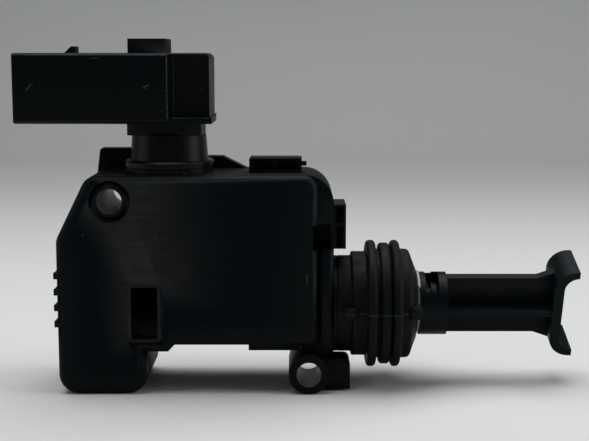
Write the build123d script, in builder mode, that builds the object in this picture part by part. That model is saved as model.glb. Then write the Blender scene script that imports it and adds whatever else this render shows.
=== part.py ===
from build123d import *
from math import atan, cos, degrees, pi, radians, sin, sqrt, tan
import os

os.makedirs("parts", exist_ok=True)

# Hood latch actuator, in millimetres.
# The origin is on the axis of the upper mounting bore, in the plane of the plunger's axis.
# +X runs along the plunger, away from the casing. +Y goes through the casing, from cover to back.
# +Z is up, and the foot and the lower lug stand on a level surface.

# Casing, seen from the front
casing_left = -11.7
casing_top = 5.3
casing_bottom = -31.1
floor_level = -41.7
foot_right = 7.3
cover_right = 43.8
nose_right = 47.3
shoulder_x = -4.9
shoulder_drop = 13.7
step_width = 5.9
step_height = 1.5
step_slant = 1.4
shoulder_round = 3.6
side_round = 4.2
foot_round = 4.2
foot_inner_round = 1.0
lower_corner_round = 1.8
cover_corner_round = 3.1
nose_corner_round = 6.3

# Casing, through its depth
half_depth = 12.0
cover_depth = 3.0
wall = 1.6
edge_round = 1.7
rim_height = 0.6
rim_width = 1.0
seal_width = 0.7
seal_height = 1.6
part_gap = 0.25
fit_gap = 0.03

# Mounting bores with their steel sleeves
bore_radius = 2.65
sleeve_wall = 0.45
lug_wall = 1.25
recess_depth = 0.4
lug_x = 42.0
lug_length = 15.0

# Window pocket in the cover
window_x = 7.0
window_z = -23.9
window_width = 5.6
window_height = 11.2
window_depth = 2.4
window_floor = 1.0
window_border = 0.7
window_border_height = 0.25

# Snap loops on the left side and the notch on the right side
loop_levels = (-17.7, -24.6)
loop_height = 4.8
loop_length = 6.5
loop_bar = 1.3
loop_stand = 0.5
notch_top = -5.2
notch_bottom = -10.5
notch_depth = 1.1
column_stand = 1.5
column_round = 1.3

# Neck and connector
neck_x = 11.6
neck_radius = 7.0
neck_bore = 5.6
neck_top = 13.0
collar_flange_radius = 9.5
collar_flange_height = 2.4
collar_foot_radius = 8.45
collar_head_radius = 8.05
connector_bottom = 16.0
connector_height = 14.9
connector_left = -20.4
connector_half_depth = 9.0
connector_round = 1.3
shroud_right = 12.4
connector_right = 21.9
connector_lip = 0.4
socket_depth = 17.5
socket_wall = 1.4
spigot_radius = 7.9
spigot_length = 8.0
seal_thickness = 1.2
pocket_depth = 5.0
pocket_wall = 1.0
catch_x = -8.1
catch_length = 2.4
catch_height = 1.4
catch_width = 4.3
key_left = 3.7
key_length = 7.9
key_height = 3.0
key_half_width = 6.5

# Contact strips
strip_thickness = 0.5
strip_width = 1.6
blade_width = 2.6
blade_spacing = 3.8
blade_reach = 11.0

# Motor, a round can with two flats
motor_radius = 10.05
motor_half_flat = 7.55
motor_length = 24.6
end_cap_height = 4.6
can_wall = 0.8
motor_boss_radius = 3.05
motor_boss_height = 1.7
magnet_thickness = 2.2
magnet_length = 13.0
core_radius = 6.4
core_length = 9.0
commutator_radius = 2.6
commutator_length = 2.6
shaft_radius = 1.0

# Gear train
tooth_angle = 25.0
backlash = 0.14
worm_module = 0.6
worm_radius = 3.2
worm_length = 7.2
worm_wheel_teeth = 17
worm_wheel_width = 4.4
small_gear_teeth = 10
small_gear_width = 3.0
train_module = 0.7
large_gear_teeth = 28
pinion_teeth = 9
rack_module = 0.8
worm_wheel_z = -8.65
large_gear_z = -12.0
axle_radius = 1.25
axle_boss_wall = 1.0
axle_seat = 1.2
running_gap = 0.05

# Rack, rod and nose
rod_z = -24.1
rod_radius = 3.5
stroke = 10.0
rack_half_width = 2.1
rack_height = 10.6
rack_right = 29.0
rack_end_margin = 2.0
stop_thickness = 1.1
rail_height = 5.0
rail_width = 1.0
buffer_radius = 5.2
bush_wall = 1.4
nose_disc_radius = 10.6
nose_length = 2.2
nose_spigot_radius = 7.4
nose_spigot_length = 3.2

# Bellows
bellows_wall = 1.4
bellows_root_radius = 10.6
bellows_body_radius = 11.7
bellows_fold_radius = 14.1
bellows_middle_fold_radius = 13.6
bellows_groove_radius = 12.8
bellows_end_radius = 12.3
bellows_length = 16.2

# Washer and yoke
washer_radius = 7.4
washer_thickness = 1.0
yoke_turn = 19.4
swivel_range = 38.8
yoke_collar_radius = 6.95
yoke_collar_length = 5.4
yoke_web_half_height = 6.85
yoke_web_thickness = 2.0
yoke_rib_half_width = 4.6
yoke_rib_thickness = 1.8
yoke_head_left = 95.0
yoke_head_thickness = 1.8
yoke_horn_reach = 3.7
yoke_horn_height = 10.5
yoke_horn_round = 3.8
rod_head_radius = 4.7
rod_head_length = 1.2
key_radius = 5.5
key_half_angle = 9.0
key_play = 1.0

# Worked out from the sizes above
cover_front = -half_depth
joint_y = cover_front + cover_depth
back_inside = half_depth - wall
front_inside = cover_front + wall
step_right = foot_right + step_width
step_level = casing_bottom - step_height
boss_radius = bore_radius + sleeve_wall + lug_wall
lug_z = floor_level + boss_radius
lug_back = cover_front + lug_length
cavity_right = cover_right - wall
rim_inset = wall + seal_width
neck_seat = casing_top
collar_top = connector_bottom - 2.5
connector_top = connector_bottom + connector_height
blade_z = connector_bottom + connector_height / 2
motor_x = casing_left + wall + 0.25 + motor_half_flat
motor_bottom = floor_level + wall + seal_width + 0.1
motor_top = motor_bottom + motor_length
can_bottom = motor_bottom + end_cap_height
worm_wheel_radius = worm_module * worm_wheel_teeth / 2
worm_gear_x = motor_x + worm_radius + worm_wheel_radius
small_gear_radius = train_module * small_gear_teeth / 2
large_gear_radius = train_module * large_gear_teeth / 2
gear_distance = small_gear_radius + large_gear_radius
rack_gear_x = worm_gear_x + sqrt(gear_distance**2 - (large_gear_z - worm_wheel_z) ** 2)
pinion_radius = rack_module * pinion_teeth / 2
rack_level = large_gear_z - pinion_radius
gear_layer = worm_wheel_width / 2
gear_back = gear_layer + small_gear_width
rack_pitch = pi * rack_module
rack_left = rack_gear_x - stroke - rack_end_margin
rack_bottom = rod_z - rod_radius
washer_left = nose_right + nose_length + bellows_length + 0.1
washer_right = washer_left + washer_thickness
collar_left = washer_right + 0.15
collar_right = collar_left + yoke_collar_length
turned = Vector(0, -sin(radians(yoke_turn)), cos(radians(yoke_turn)))


def facing(y):
    """Sketch plane at depth y: x to the right, z up, and an extrusion comes to the front."""
    return Plane.XZ.offset(-y)


def across(x):
    """Sketch plane at x: y to the right, z up, and an extrusion goes to +X."""
    return Plane.YZ.offset(x)


def turned_side(x):
    """Sketch plane of the turned yoke and rod head, at x, centred on the rod."""
    return Plane(origin=(x, 0, rod_z), x_dir=(0, turned.Z, -turned.Y), z_dir=(1, 0, 0))


def casing_outline(right, corner_round, inset=0):
    """Front view of the casing, or of a line inside it, with its foot at the left."""
    shoulder_turn = atan(shoulder_drop / (shoulder_x - casing_left))
    shoulder_shift = inset * tan(shoulder_turn / 2)
    side_shift = inset * tan((pi / 2 - shoulder_turn) / 2)
    step_shift = inset * tan(atan(step_height / step_slant) / 2)
    if inset:
        foot_corner = max(foot_inner_round - inset + wall, 0)
    else:
        foot_corner = foot_round
    with BuildLine() as edge_line:
        FilletPolyline(
            (shoulder_x + shoulder_shift, casing_top - inset),
            (right - inset, casing_top - inset),
            (right - inset, casing_bottom + inset),
            (step_right - step_shift, casing_bottom + inset),
            (step_right - step_slant - step_shift, step_level + inset),
            (foot_right - inset, step_level + inset),
            (foot_right - inset, floor_level + inset),
            (casing_left + inset, floor_level + inset),
            (casing_left + inset, casing_top - shoulder_drop - side_shift),
            radius=[
                max(shoulder_round - inset, 0),
                max(corner_round - inset, 0),
                max(lower_corner_round - inset, 0),
                0,
                0,
                0,
                foot_corner,
                foot_corner,
                max(side_round - inset, 0),
            ],
            close=True,
        )
    make_face(edge_line.edges())


def casing_ring(right, corner_round, outer, inner):
    """Ring inside the casing's wall, between two insets."""
    casing_outline(right, corner_round, outer)
    with BuildSketch(mode=Mode.PRIVATE) as inside:
        casing_outline(right, corner_round, inner)
    add(inside.sketch, mode=Mode.SUBTRACT)


def sector(radius, start, end):
    """Slice of a disc between two angles in degrees."""
    with BuildLine() as edge_line:
        arc = CenterArc((0, 0), radius, start, end - start)
        Line(arc @ 1, (0, 0))
        Line((0, 0), arc @ 0)
    make_face(edge_line.edges())


def involute_angle(base, radius):
    """Angle that an involute has turned through where it reaches the radius."""
    stretch = sqrt(max(radius**2 - base**2, 0)) / base
    return stretch - atan(stretch)


def gear_outline(teeth, module, first_tooth):
    """Toothed outline, in the sketch that is open, with one tooth at the angle given in degrees."""
    pitch_radius = module * teeth / 2
    base = pitch_radius * cos(radians(tooth_angle))
    root = pitch_radius - 1.05 * module
    tip = pitch_radius + 0.8 * module
    half = pi / (2 * teeth) - backlash / (4 * pitch_radius) + involute_angle(base, pitch_radius)
    start = max(base, root)
    heights = [start + (tip - start) * step / 3 for step in range(4)]
    flank = [(radius, half - involute_angle(base, radius)) for radius in heights]
    foot = root - 0.3 * module
    side_points = [(foot * cos(flank[0][1]), foot * sin(flank[0][1]))]
    side_points += [(radius * cos(turn), radius * sin(turn)) for radius, turn in flank]
    with Locations(Rotation(0, 0, first_tooth)):
        Circle(root)
        with PolarLocations(0, teeth):
            Polygon(*side_points, *[(x, -y) for x, y in reversed(side_points)], align=None)


solids = {}


def keep(name, builder):
    """Label a finished piece for its file."""
    builder.part.label = name
    solids[name] = builder.part


# Front cover: a shallow tray with a rim that reaches into the back half
with BuildPart() as front_cover:
    with BuildSketch(facing(joint_y)):
        casing_outline(cover_right, cover_corner_round)
    extrude(amount=cover_depth)
    fillet(front_cover.faces().sort_by(Axis.Y)[0].edges(), edge_round)
    with BuildSketch(facing(joint_y)):
        casing_outline(cover_right, cover_corner_round, wall)
    extrude(amount=cover_depth - wall, mode=Mode.SUBTRACT)
    with BuildSketch(facing(joint_y + rim_height)):
        casing_ring(cover_right, cover_corner_round, rim_inset, rim_inset + rim_width)
        Circle(boss_radius + seal_width, mode=Mode.SUBTRACT)
    extrude(amount=cover_depth - wall + rim_height)
    # the rim stops where the motor fills the foot
    with BuildSketch(facing(joint_y + rim_height)):
        with Locations((motor_x, motor_bottom - part_gap)):
            Rectangle(
                2 * (motor_half_flat + part_gap),
                motor_length + 2 * part_gap,
                align=(Align.CENTER, Align.MIN),
            )
    extrude(amount=cover_depth - wall + rim_height, mode=Mode.SUBTRACT)
    # tube of the upper bore and the bosses of the two gear axles
    with BuildSketch(facing(joint_y)):
        Circle(boss_radius)
    extrude(amount=cover_depth - wall)
    with BuildSketch(facing(-gear_layer - part_gap)):
        with Locations((worm_gear_x, worm_wheel_z), (rack_gear_x, large_gear_z)):
            Circle(axle_radius + axle_boss_wall)
    extrude(amount=-gear_layer - part_gap - front_inside)
    with BuildSketch(facing(-gear_layer - part_gap)):
        with Locations((worm_gear_x, worm_wheel_z), (rack_gear_x, large_gear_z)):
            Circle(axle_radius + fit_gap)
    extrude(amount=-gear_layer - part_gap - front_inside, mode=Mode.SUBTRACT)
    # window pocket with its low border
    with BuildSketch(facing(cover_front)):
        with Locations((window_x, window_z)):
            RectangleRounded(window_width + 2 * window_border, window_height + 2 * window_border, 0.8)
    extrude(amount=window_border_height)
    with BuildSketch(facing(cover_front + window_depth + window_floor)):
        with Locations((window_x, window_z)):
            RectangleRounded(window_width + 1.6, window_height + 1.6, 0.8)
    extrude(amount=window_depth + window_floor - wall / 2)
    with BuildSketch(facing(cover_front + window_depth)):
        with Locations((window_x, window_z)):
            RectangleRounded(window_width, window_height, 0.5)
    extrude(amount=window_depth + window_border_height, mode=Mode.SUBTRACT)
    # recess ring and hole of the upper bore
    with BuildSketch(facing(cover_front + recess_depth)):
        Circle(boss_radius)
    extrude(amount=recess_depth, mode=Mode.SUBTRACT)
    with BuildSketch(facing(joint_y + 1)):
        Circle(bore_radius + sleeve_wall)
    extrude(amount=cover_depth + 2, mode=Mode.SUBTRACT)
    # notch for the snap at the right
    with BuildSketch(facing(joint_y)):
        with Locations((cover_right, (notch_top + notch_bottom) / 2)):
            Rectangle(2 * notch_depth, notch_top - notch_bottom)
    extrude(amount=cover_depth, mode=Mode.SUBTRACT)
    # snap loops on the left side
    with BuildSketch(Plane.YZ.offset(casing_left - loop_stand)):
        for level in loop_levels:
            with Locations((joint_y + loop_length / 2 - 1.0, level)):
                Rectangle(loop_length, loop_height)
                Rectangle(loop_length - 2 * loop_bar, loop_height - 2 * loop_bar, mode=Mode.SUBTRACT)
    extrude(amount=loop_stand)
keep("front_cover", front_cover)

# Rear housing: the deep half, with everything that stands out of the casing
with BuildPart() as rear_housing:
    with BuildSketch(facing(half_depth)):
        casing_outline(nose_right, nose_corner_round)
    extrude(amount=half_depth - joint_y)
    fillet(rear_housing.faces().sort_by(Axis.Y)[-1].edges(), edge_round)
    # column beside the cover, below the notch
    with BuildSketch(Plane.XY.offset(casing_bottom)):
        with BuildLine():
            FilletPolyline(
                (cover_right + part_gap, joint_y + 1),
                (cover_right + part_gap, joint_y - column_stand),
                (nose_right, joint_y - column_stand),
                (nose_right, joint_y + 1),
                radius=[0, column_round, column_round, 0],
                close=True,
            )
        make_face()
    extrude(amount=notch_bottom - casing_bottom)
    # lower lug with the web that joins it to the casing
    with BuildSketch(facing(lug_back)):
        with Locations((lug_x, lug_z)):
            Circle(boss_radius)
    extrude(amount=lug_length)
    with BuildSketch(facing(lug_back)):
        Polygon(
            (lug_x - 2.4, casing_bottom + 1),
            (nose_right, casing_bottom + 1),
            (nose_right, lug_z - 0.5),
            (lug_x + boss_radius - 0.6, lug_z - 1.5),
            (lug_x, lug_z),
            align=None,
        )
    extrude(amount=lug_length - cover_depth - 1)
    # ledge under the casing
    with BuildSketch(facing(half_depth - 3)):
        with Locations((lug_x - 2.0, casing_bottom)):
            Rectangle(11.0, 1.6, align=(Align.MAX, Align.MAX))
    extrude(amount=2 * half_depth - 6)
    # lower right block
    with BuildSketch(facing(-2.5)):
        with BuildLine():
            FilletPolyline(
                (lug_x + 2, lug_z + 2.8),
                (nose_right + 3.6, lug_z + 2.8),
                (nose_right + 3.6, floor_level + 0.4),
                (lug_x + 2, floor_level + 0.4),
                radius=[0, 1.3, 0.5, 0],
                close=True,
            )
        make_face()
    extrude(amount=6.5)
    # side frame with two pockets, on the right
    with BuildSketch(facing(4.8)):
        Polygon((44, -0.3), (50.0, -0.3), (50.0, -11.0), (44, -11.0), align=None)
    extrude(amount=10.8)
    with BuildSketch(facing(-6)):
        with Locations((48.65, -3.1), (48.65, -8.4)):
            Rectangle(1.5, 4.3)
    extrude(amount=-5.0, mode=Mode.SUBTRACT)
    # frame with two windows, on top
    with BuildSketch(facing(3.5)):
        with BuildLine():
            FilletPolyline(
                (29.1, casing_top - 1),
                (29.1, 8.4),
                (40.5, 8.4),
                (40.5, casing_top - 1),
                radius=[0, 0.4, 0.4, 0],
                close=True,
            )
        make_face()
    extrude(amount=7.0)
    with BuildSketch(facing(-3.5)):
        with Locations((32.25, 6.9), (37.2, 6.9)):
            Rectangle(4.0, 2.0)
    extrude(amount=-5.5, mode=Mode.SUBTRACT)
    with BuildSketch(facing(-1.5)):
        with Locations((40.9, 7.2)):
            Rectangle(1.2, 0.9)
    extrude(amount=1.6)
    # lug at the top left and ramp at the right, behind the neck
    with BuildSketch(facing(half_depth - edge_round)):
        with BuildLine():
            FilletPolyline(
                (-5.6, 2.0),
                (-4.6, 9.8),
                (3.6, 9.8),
                (3.6, 2.0),
                radius=[0, 0.6, 0.6, 0],
                close=True,
            )
        make_face()
        Polygon((19.5, 4.0), (19.5, 8.0), (22.8, 8.0), (28.2, casing_top), (28.2, 4.0), align=None)
    extrude(amount=3.8)
    # nose with two discs and the spigot inside the bellows
    with BuildSketch(across(nose_right)):
        with Locations((0, rod_z)):
            Circle(nose_disc_radius - 1)
    extrude(amount=nose_length)
    with BuildSketch(across(nose_right), across(nose_right + nose_length - 0.8)):
        with Locations((0, rod_z)):
            Circle(nose_disc_radius)
    extrude(amount=0.8)
    with BuildSketch(across(nose_right + nose_length)):
        with Locations((0, rod_z)):
            Circle(nose_spigot_radius)
    extrude(amount=nose_spigot_length)
    # cavity, with the deep wall of the nose left standing at its right
    with BuildSketch(facing(back_inside)):
        casing_outline(cover_right, cover_corner_round, wall)
    extrude(amount=back_inside - joint_y, mode=Mode.SUBTRACT)
    # neck tube
    with BuildSketch(Plane.XY.offset(casing_top - wall)):
        with Locations((neck_x, 0)):
            Circle(neck_radius)
    extrude(amount=neck_top - casing_top + wall)
    with BuildSketch(Plane.XY.offset(casing_top - wall)):
        with Locations((neck_x, 0)):
            Circle(neck_bore)
    extrude(amount=neck_top - casing_top + wall, mode=Mode.SUBTRACT)
    # tube of the upper bore, and the axle bosses on the back wall
    with BuildSketch(facing(back_inside)):
        Circle(boss_radius)
    extrude(amount=back_inside - joint_y)
    with BuildSketch(facing(back_inside)):
        with Locations((worm_gear_x, worm_wheel_z), (rack_gear_x, large_gear_z)):
            Circle(axle_radius + axle_boss_wall)
    extrude(amount=back_inside - gear_back - part_gap)
    # channel that guides the rack on the floor of the casing, closed at the left as the inner stop
    with BuildSketch(across(rack_left - part_gap - stop_thickness)):
        with Locations((0, casing_bottom + wall)):
            Rectangle(
                2 * (rack_half_width + part_gap + rail_width),
                rail_height,
                align=(Align.CENTER, Align.MIN),
            )
    extrude(amount=rack_right - 1 - rack_left + part_gap + stop_thickness)
    with BuildSketch(across(rack_left - part_gap)):
        with Locations((0, rack_bottom - part_gap)):
            Rectangle(
                2 * (rack_half_width + part_gap),
                rail_height,
                align=(Align.CENTER, Align.MIN),
            )
    extrude(amount=rack_right - rack_left, mode=Mode.SUBTRACT)
    # bores
    with BuildSketch(facing(half_depth)):
        Circle(bore_radius + sleeve_wall)
        with Locations((lug_x, lug_z)):
            Circle(bore_radius + sleeve_wall)
    extrude(amount=2 * half_depth, mode=Mode.SUBTRACT)
    with BuildSketch(facing(back_inside + axle_seat)):
        with Locations((worm_gear_x, worm_wheel_z), (rack_gear_x, large_gear_z)):
            Circle(axle_radius + fit_gap)
    extrude(amount=back_inside, mode=Mode.SUBTRACT)
    with BuildSketch(across(cavity_right)):
        with Locations((0, rod_z)):
            Circle(rod_radius + running_gap + bush_wall)
    extrude(amount=nose_right + nose_length + nose_spigot_length - cavity_right, mode=Mode.SUBTRACT)
keep("rear_housing", rear_housing)

# Gasket round the cover's rim
with BuildPart() as housing_seal:
    with BuildSketch(facing(joint_y + seal_height / 2)):
        casing_ring(cover_right, cover_corner_round, wall + fit_gap, rim_inset - fit_gap)
        Circle(boss_radius + seal_width - fit_gap, mode=Mode.SUBTRACT)
        with BuildSketch(mode=Mode.PRIVATE) as boss_ring:
            casing_outline(cover_right, cover_corner_round, wall + fit_gap)
            Circle(boss_radius + seal_width - fit_gap, mode=Mode.INTERSECT)
            Circle(boss_radius + fit_gap, mode=Mode.SUBTRACT)
        add(boss_ring.sketch)
    extrude(amount=seal_height)
keep("housing_seal", housing_seal)

# Steel sleeves of the two mounting bores
for name, x, z, length in (
    ("upper_sleeve", 0, 0, 2 * half_depth),
    ("lower_sleeve", lug_x, lug_z, lug_length),
):
    with BuildPart() as sleeve:
        with BuildSketch(facing(cover_front + length)):
            with Locations((x, z)):
                Circle(bore_radius + sleeve_wall - fit_gap)
                Circle(bore_radius, mode=Mode.SUBTRACT)
        extrude(amount=length)
    keep(name, sleeve)

# Collar round the neck
with BuildPart() as neck_collar:
    with BuildSketch(Plane.XZ):
        with BuildLine():
            Polyline(
                (neck_x + neck_radius + fit_gap, neck_seat),
                (neck_x + collar_flange_radius, neck_seat),
                (neck_x + collar_flange_radius, neck_seat + collar_flange_height - 0.4),
                (neck_x + collar_flange_radius - 0.4, neck_seat + collar_flange_height),
                (neck_x + collar_foot_radius, neck_seat + collar_flange_height),
                (neck_x + collar_head_radius, collar_top),
                (neck_x + neck_radius + fit_gap, collar_top),
                close=True,
            )
        make_face()
    revolve(axis=Axis((neck_x, 0, 0), (0, 0, 1)))
keep("neck_collar", neck_collar)

# Connector: socket to the left, spigot into the neck below
strip_slot = strip_thickness + 2 * fit_gap
with BuildPart() as connector_housing:
    with BuildSketch(Plane.XY.offset(connector_bottom)):
        with BuildLine():
            FilletPolyline(
                (connector_left, -connector_half_depth),
                (shroud_right, -connector_half_depth),
                (shroud_right, -connector_half_depth + 1.0),
                (connector_right, -connector_half_depth + 1.0),
                (connector_right, connector_half_depth),
                (connector_left, connector_half_depth),
                radius=[0.4, 0.9, 0, connector_round, connector_round, 0.4],
                close=True,
            )
        make_face()
    extrude(amount=connector_height)
    fillet(
        connector_housing.faces().sort_by(Axis.Z)[-1].edges()
        + connector_housing.faces().sort_by(Axis.Z)[0].edges(),
        0.5,
    )
    # foot lip at the right
    with BuildSketch(Plane.XY.offset(connector_bottom)):
        with Locations((neck_x, 0)):
            Rectangle(
                connector_right + connector_lip - neck_x,
                2 * connector_half_depth - 1.6,
                align=(Align.MIN, Align.CENTER),
            )
    extrude(amount=1.5)
    # pocket in the front, beside the shroud
    with BuildSketch(facing(-connector_half_depth + 1.0 + pocket_depth)):
        with Locations((shroud_right + 0.8, connector_bottom + 1.5)):
            Rectangle(
                connector_right - pocket_wall - shroud_right - 0.8,
                connector_height - 2.5,
                align=(Align.MIN, Align.MIN),
            )
    extrude(amount=pocket_depth, mode=Mode.SUBTRACT)
    # socket, open to the left
    with BuildSketch(across(connector_left)):
        with Locations((0, blade_z)):
            RectangleRounded(
                2 * (connector_half_depth - socket_wall), connector_height - 2 * socket_wall, 1.0
            )
    extrude(amount=socket_depth, mode=Mode.SUBTRACT)
    # wedge catch and keying block on top
    with BuildSketch(facing(catch_width / 2)):
        Polygon(
            (catch_x - catch_length, connector_top),
            (catch_x - 0.9, connector_top + catch_height),
            (catch_x, connector_top + catch_height),
            (catch_x, connector_top),
            align=None,
        )
    extrude(amount=catch_width)
    with BuildSketch(Plane.XY.offset(connector_top)):
        with Locations((key_left, 0)):
            Rectangle(key_length, 2 * key_half_width, align=(Align.MIN, Align.CENTER))
    extrude(amount=key_height)
    # band and spigot
    with BuildSketch(Plane.XY.offset(connector_bottom)):
        with Locations((neck_x, 0)):
            Circle(spigot_radius)
    extrude(amount=collar_top - connector_bottom)
    with BuildSketch(Plane.XY.offset(collar_top)):
        with Locations((neck_x, 0)):
            Circle(neck_bore - fit_gap)
    extrude(amount=-spigot_length)
    # groove of the seal
    with BuildSketch(Plane.XY.offset(collar_top - spigot_length / 2)):
        with Locations((neck_x, 0)):
            Circle(neck_bore + 1)
            Circle(neck_bore - seal_thickness, mode=Mode.SUBTRACT)
    extrude(amount=-seal_thickness, mode=Mode.SUBTRACT)
    # slots of the contact strips
    for side in (-1, 1):
        with BuildSketch(facing(side * blade_spacing / 2 + strip_slot / 2)):
            with Locations((connector_left + socket_depth, blade_z)):
                Rectangle(
                    neck_x + strip_width / 2 + fit_gap - connector_left - socket_depth,
                    blade_width + 2 * fit_gap,
                    align=(Align.MIN, Align.CENTER),
                )
            with Locations((neck_x, blade_z)):
                Rectangle(
                    strip_width + 2 * fit_gap,
                    blade_z - collar_top + spigot_length,
                    align=(Align.CENTER, Align.MAX),
                )
        extrude(amount=strip_slot, mode=Mode.SUBTRACT)
keep("connector_housing", connector_housing)

# Rubber ring on the spigot
with BuildPart() as neck_seal:
    with BuildSketch(Plane.XY.offset(collar_top - spigot_length / 2 - fit_gap)):
        with Locations((neck_x, 0)):
            Circle(neck_bore - fit_gap)
            Circle(neck_bore - seal_thickness + fit_gap, mode=Mode.SUBTRACT)
    extrude(amount=-seal_thickness + 2 * fit_gap)
keep("neck_seal", neck_seal)

# Contact strips: blade in the socket, down the neck, outwards, and down to the motor
strip_turn = casing_top - rim_inset - rim_width - part_gap - strip_thickness
strip_shelf = (worm_wheel_z + axle_radius + axle_boss_wall - boss_radius) / 2
strip_side = casing_left + rim_inset + rim_width + part_gap + strip_width / 2
strip_end = motor_bottom + 1.5
strip_offset = back_inside - strip_thickness / 2 - fit_gap
for name, side in (("contact_strip_front", -1), ("contact_strip_rear", 1)):
    inner = side * blade_spacing / 2
    outer = side * strip_offset
    with BuildPart() as strip:
        with BuildSketch(facing(inner + strip_thickness / 2)):
            with Locations((neck_x + strip_width / 2, blade_z)):
                Rectangle(
                    neck_x + strip_width / 2 - connector_left - socket_depth + blade_reach,
                    blade_width,
                    align=(Align.MAX, Align.CENTER),
                )
            with Locations((neck_x, blade_z)):
                Rectangle(strip_width, blade_z - strip_turn, align=(Align.CENTER, Align.MAX))
        extrude(amount=strip_thickness)
        with BuildSketch(Plane.XY.offset(strip_turn)):
            with Locations((neck_x, (inner + outer) / 2)):
                Rectangle(strip_width, strip_offset - blade_spacing / 2 + strip_thickness)
        extrude(amount=strip_thickness)
        with BuildSketch(facing(outer + strip_thickness / 2)):
            with BuildLine() as run:
                FilletPolyline(
                    (neck_x, strip_turn + strip_thickness),
                    (neck_x, strip_shelf),
                    (strip_side + 4.5, strip_shelf),
                    (strip_side, strip_shelf - 4.5),
                    (strip_side, strip_end),
                    radius=1.5,
                )
            trace(run.line, strip_width)
        extrude(amount=strip_thickness)
    keep(name, strip)

# Motor can
with BuildPart() as motor_can:
    with BuildSketch(Plane.XY.offset(can_bottom)) as can_section:
        with Locations((motor_x, 0)):
            Circle(motor_radius)
            Rectangle(2 * motor_half_flat, 3 * motor_radius, mode=Mode.INTERSECT)
    extrude(amount=motor_top - can_bottom)
    with BuildSketch(Plane.XY.offset(can_bottom)):
        with Locations((motor_x, 0)):
            Circle(motor_radius - can_wall)
            Rectangle(2 * (motor_half_flat - can_wall), 3 * motor_radius, mode=Mode.INTERSECT)
    extrude(amount=motor_top - can_bottom - can_wall, mode=Mode.SUBTRACT)
    with BuildSketch(Plane.XY.offset(motor_top)):
        with Locations((motor_x, 0)):
            Circle(motor_boss_radius)
    extrude(amount=motor_boss_height)
    with BuildSketch(Plane.XY.offset(motor_top - can_wall)):
        with Locations((motor_x, 0)):
            Circle(motor_boss_radius - can_wall)
    extrude(amount=motor_boss_height + can_wall, mode=Mode.SUBTRACT)
keep("motor_can", motor_can)

# Motor bearings: one in the boss, one in the end cap
bearing_radius = motor_boss_radius - can_wall - fit_gap
with BuildPart() as motor_bearing:
    with BuildSketch(Plane.XY.offset(motor_top - can_wall), Plane.XY.offset(motor_bottom + 1.0)):
        with Locations((motor_x, 0)):
            Circle(bearing_radius)
            Circle(shaft_radius + running_gap, mode=Mode.SUBTRACT)
    extrude(amount=motor_boss_height + can_wall)
keep("motor_bearing", motor_bearing)

# End cap of the motor
with BuildPart() as motor_end_cap:
    with BuildSketch(Plane.XY.offset(motor_bottom)):
        with Locations((motor_x, 0)):
            Circle(motor_radius)
            Rectangle(2 * motor_half_flat, 3 * motor_radius, mode=Mode.INTERSECT)
    extrude(amount=end_cap_height - fit_gap)
    with BuildSketch(Plane.XY.offset(motor_bottom + 1.0)):
        with Locations((motor_x, 0)):
            Circle(bearing_radius + fit_gap)
    extrude(amount=end_cap_height, mode=Mode.SUBTRACT)
    with BuildSketch(Plane.XY.offset(motor_bottom + 1.0 + motor_boss_height + can_wall)):
        with Locations((motor_x, 0)):
            Circle(motor_half_flat - 1.0)
    extrude(amount=end_cap_height, mode=Mode.SUBTRACT)
keep("motor_end_cap", motor_end_cap)

# Magnets: two arcs against the round sides of the can
magnet_outer = motor_radius - can_wall - fit_gap
magnet_base = can_bottom + 4.0
with BuildPart() as motor_magnets:
    with BuildSketch(Plane.XY.offset(magnet_base)):
        with Locations((motor_x, 0)):
            Circle(magnet_outer)
            Circle(magnet_outer - magnet_thickness, mode=Mode.SUBTRACT)
            Rectangle(2 * (motor_half_flat - can_wall - 0.6), 3 * motor_radius, mode=Mode.INTERSECT)
    extrude(amount=magnet_length)
keep("motor_magnets", motor_magnets)

# Turning parts of the motor
core_base = magnet_base + (magnet_length - core_length) / 2
commutator_base = can_bottom + 0.2
worm_top = worm_wheel_z + worm_length / 2 - 0.5
worm_base = worm_top - worm_length
with BuildPart() as motor_shaft:
    with BuildSketch(Plane.XY.offset(motor_bottom + 1.2)):
        with Locations((motor_x, 0)):
            Circle(shaft_radius)
    extrude(amount=worm_top + 0.4 - motor_bottom - 1.2)
keep("motor_shaft", motor_shaft)

with BuildPart() as armature_core:
    with BuildSketch(Plane.XY.offset(core_base)):
        with Locations((motor_x, 0)):
            Circle(core_radius)
            Circle(core_radius - 1.2, mode=Mode.SUBTRACT)
            with PolarLocations(0, 3):
                Rectangle(core_radius + 1, 1.2, align=(Align.MIN, Align.CENTER), mode=Mode.SUBTRACT)
            with PolarLocations(0, 3, 60):
                Rectangle(core_radius - 0.6, 2.6, align=(Align.MIN, Align.CENTER))
            Circle(shaft_radius + 1.4)
            Circle(shaft_radius + fit_gap, mode=Mode.SUBTRACT)
    extrude(amount=core_length)
keep("armature_core", armature_core)

with BuildPart() as armature_windings:
    with BuildSketch(Plane.XY.offset(core_base - 1.0)):
        with Locations((motor_x, 0)):
            with PolarLocations(3.9, 3, 60):
                Rectangle(1.9, 3.7)
    extrude(amount=core_length + 2.0)
    with BuildSketch(Plane.XY.offset(core_base - fit_gap)):
        with Locations((motor_x, 0)):
            with PolarLocations(3.9, 3, 60):
                Rectangle(3.0, 2.6 + 2 * fit_gap)
    extrude(amount=core_length + 2 * fit_gap, mode=Mode.SUBTRACT)
keep("armature_windings", armature_windings)

with BuildPart() as commutator:
    with BuildSketch(Plane.XY.offset(commutator_base)):
        with Locations((motor_x, 0)):
            Circle(commutator_radius)
            Circle(shaft_radius + fit_gap, mode=Mode.SUBTRACT)
            with PolarLocations(0, 3):
                with Locations((commutator_radius, 0)):
                    Rectangle(0.8, 0.3, mode=Mode.SUBTRACT)
    extrude(amount=commutator_length)
keep("commutator", commutator)

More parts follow.
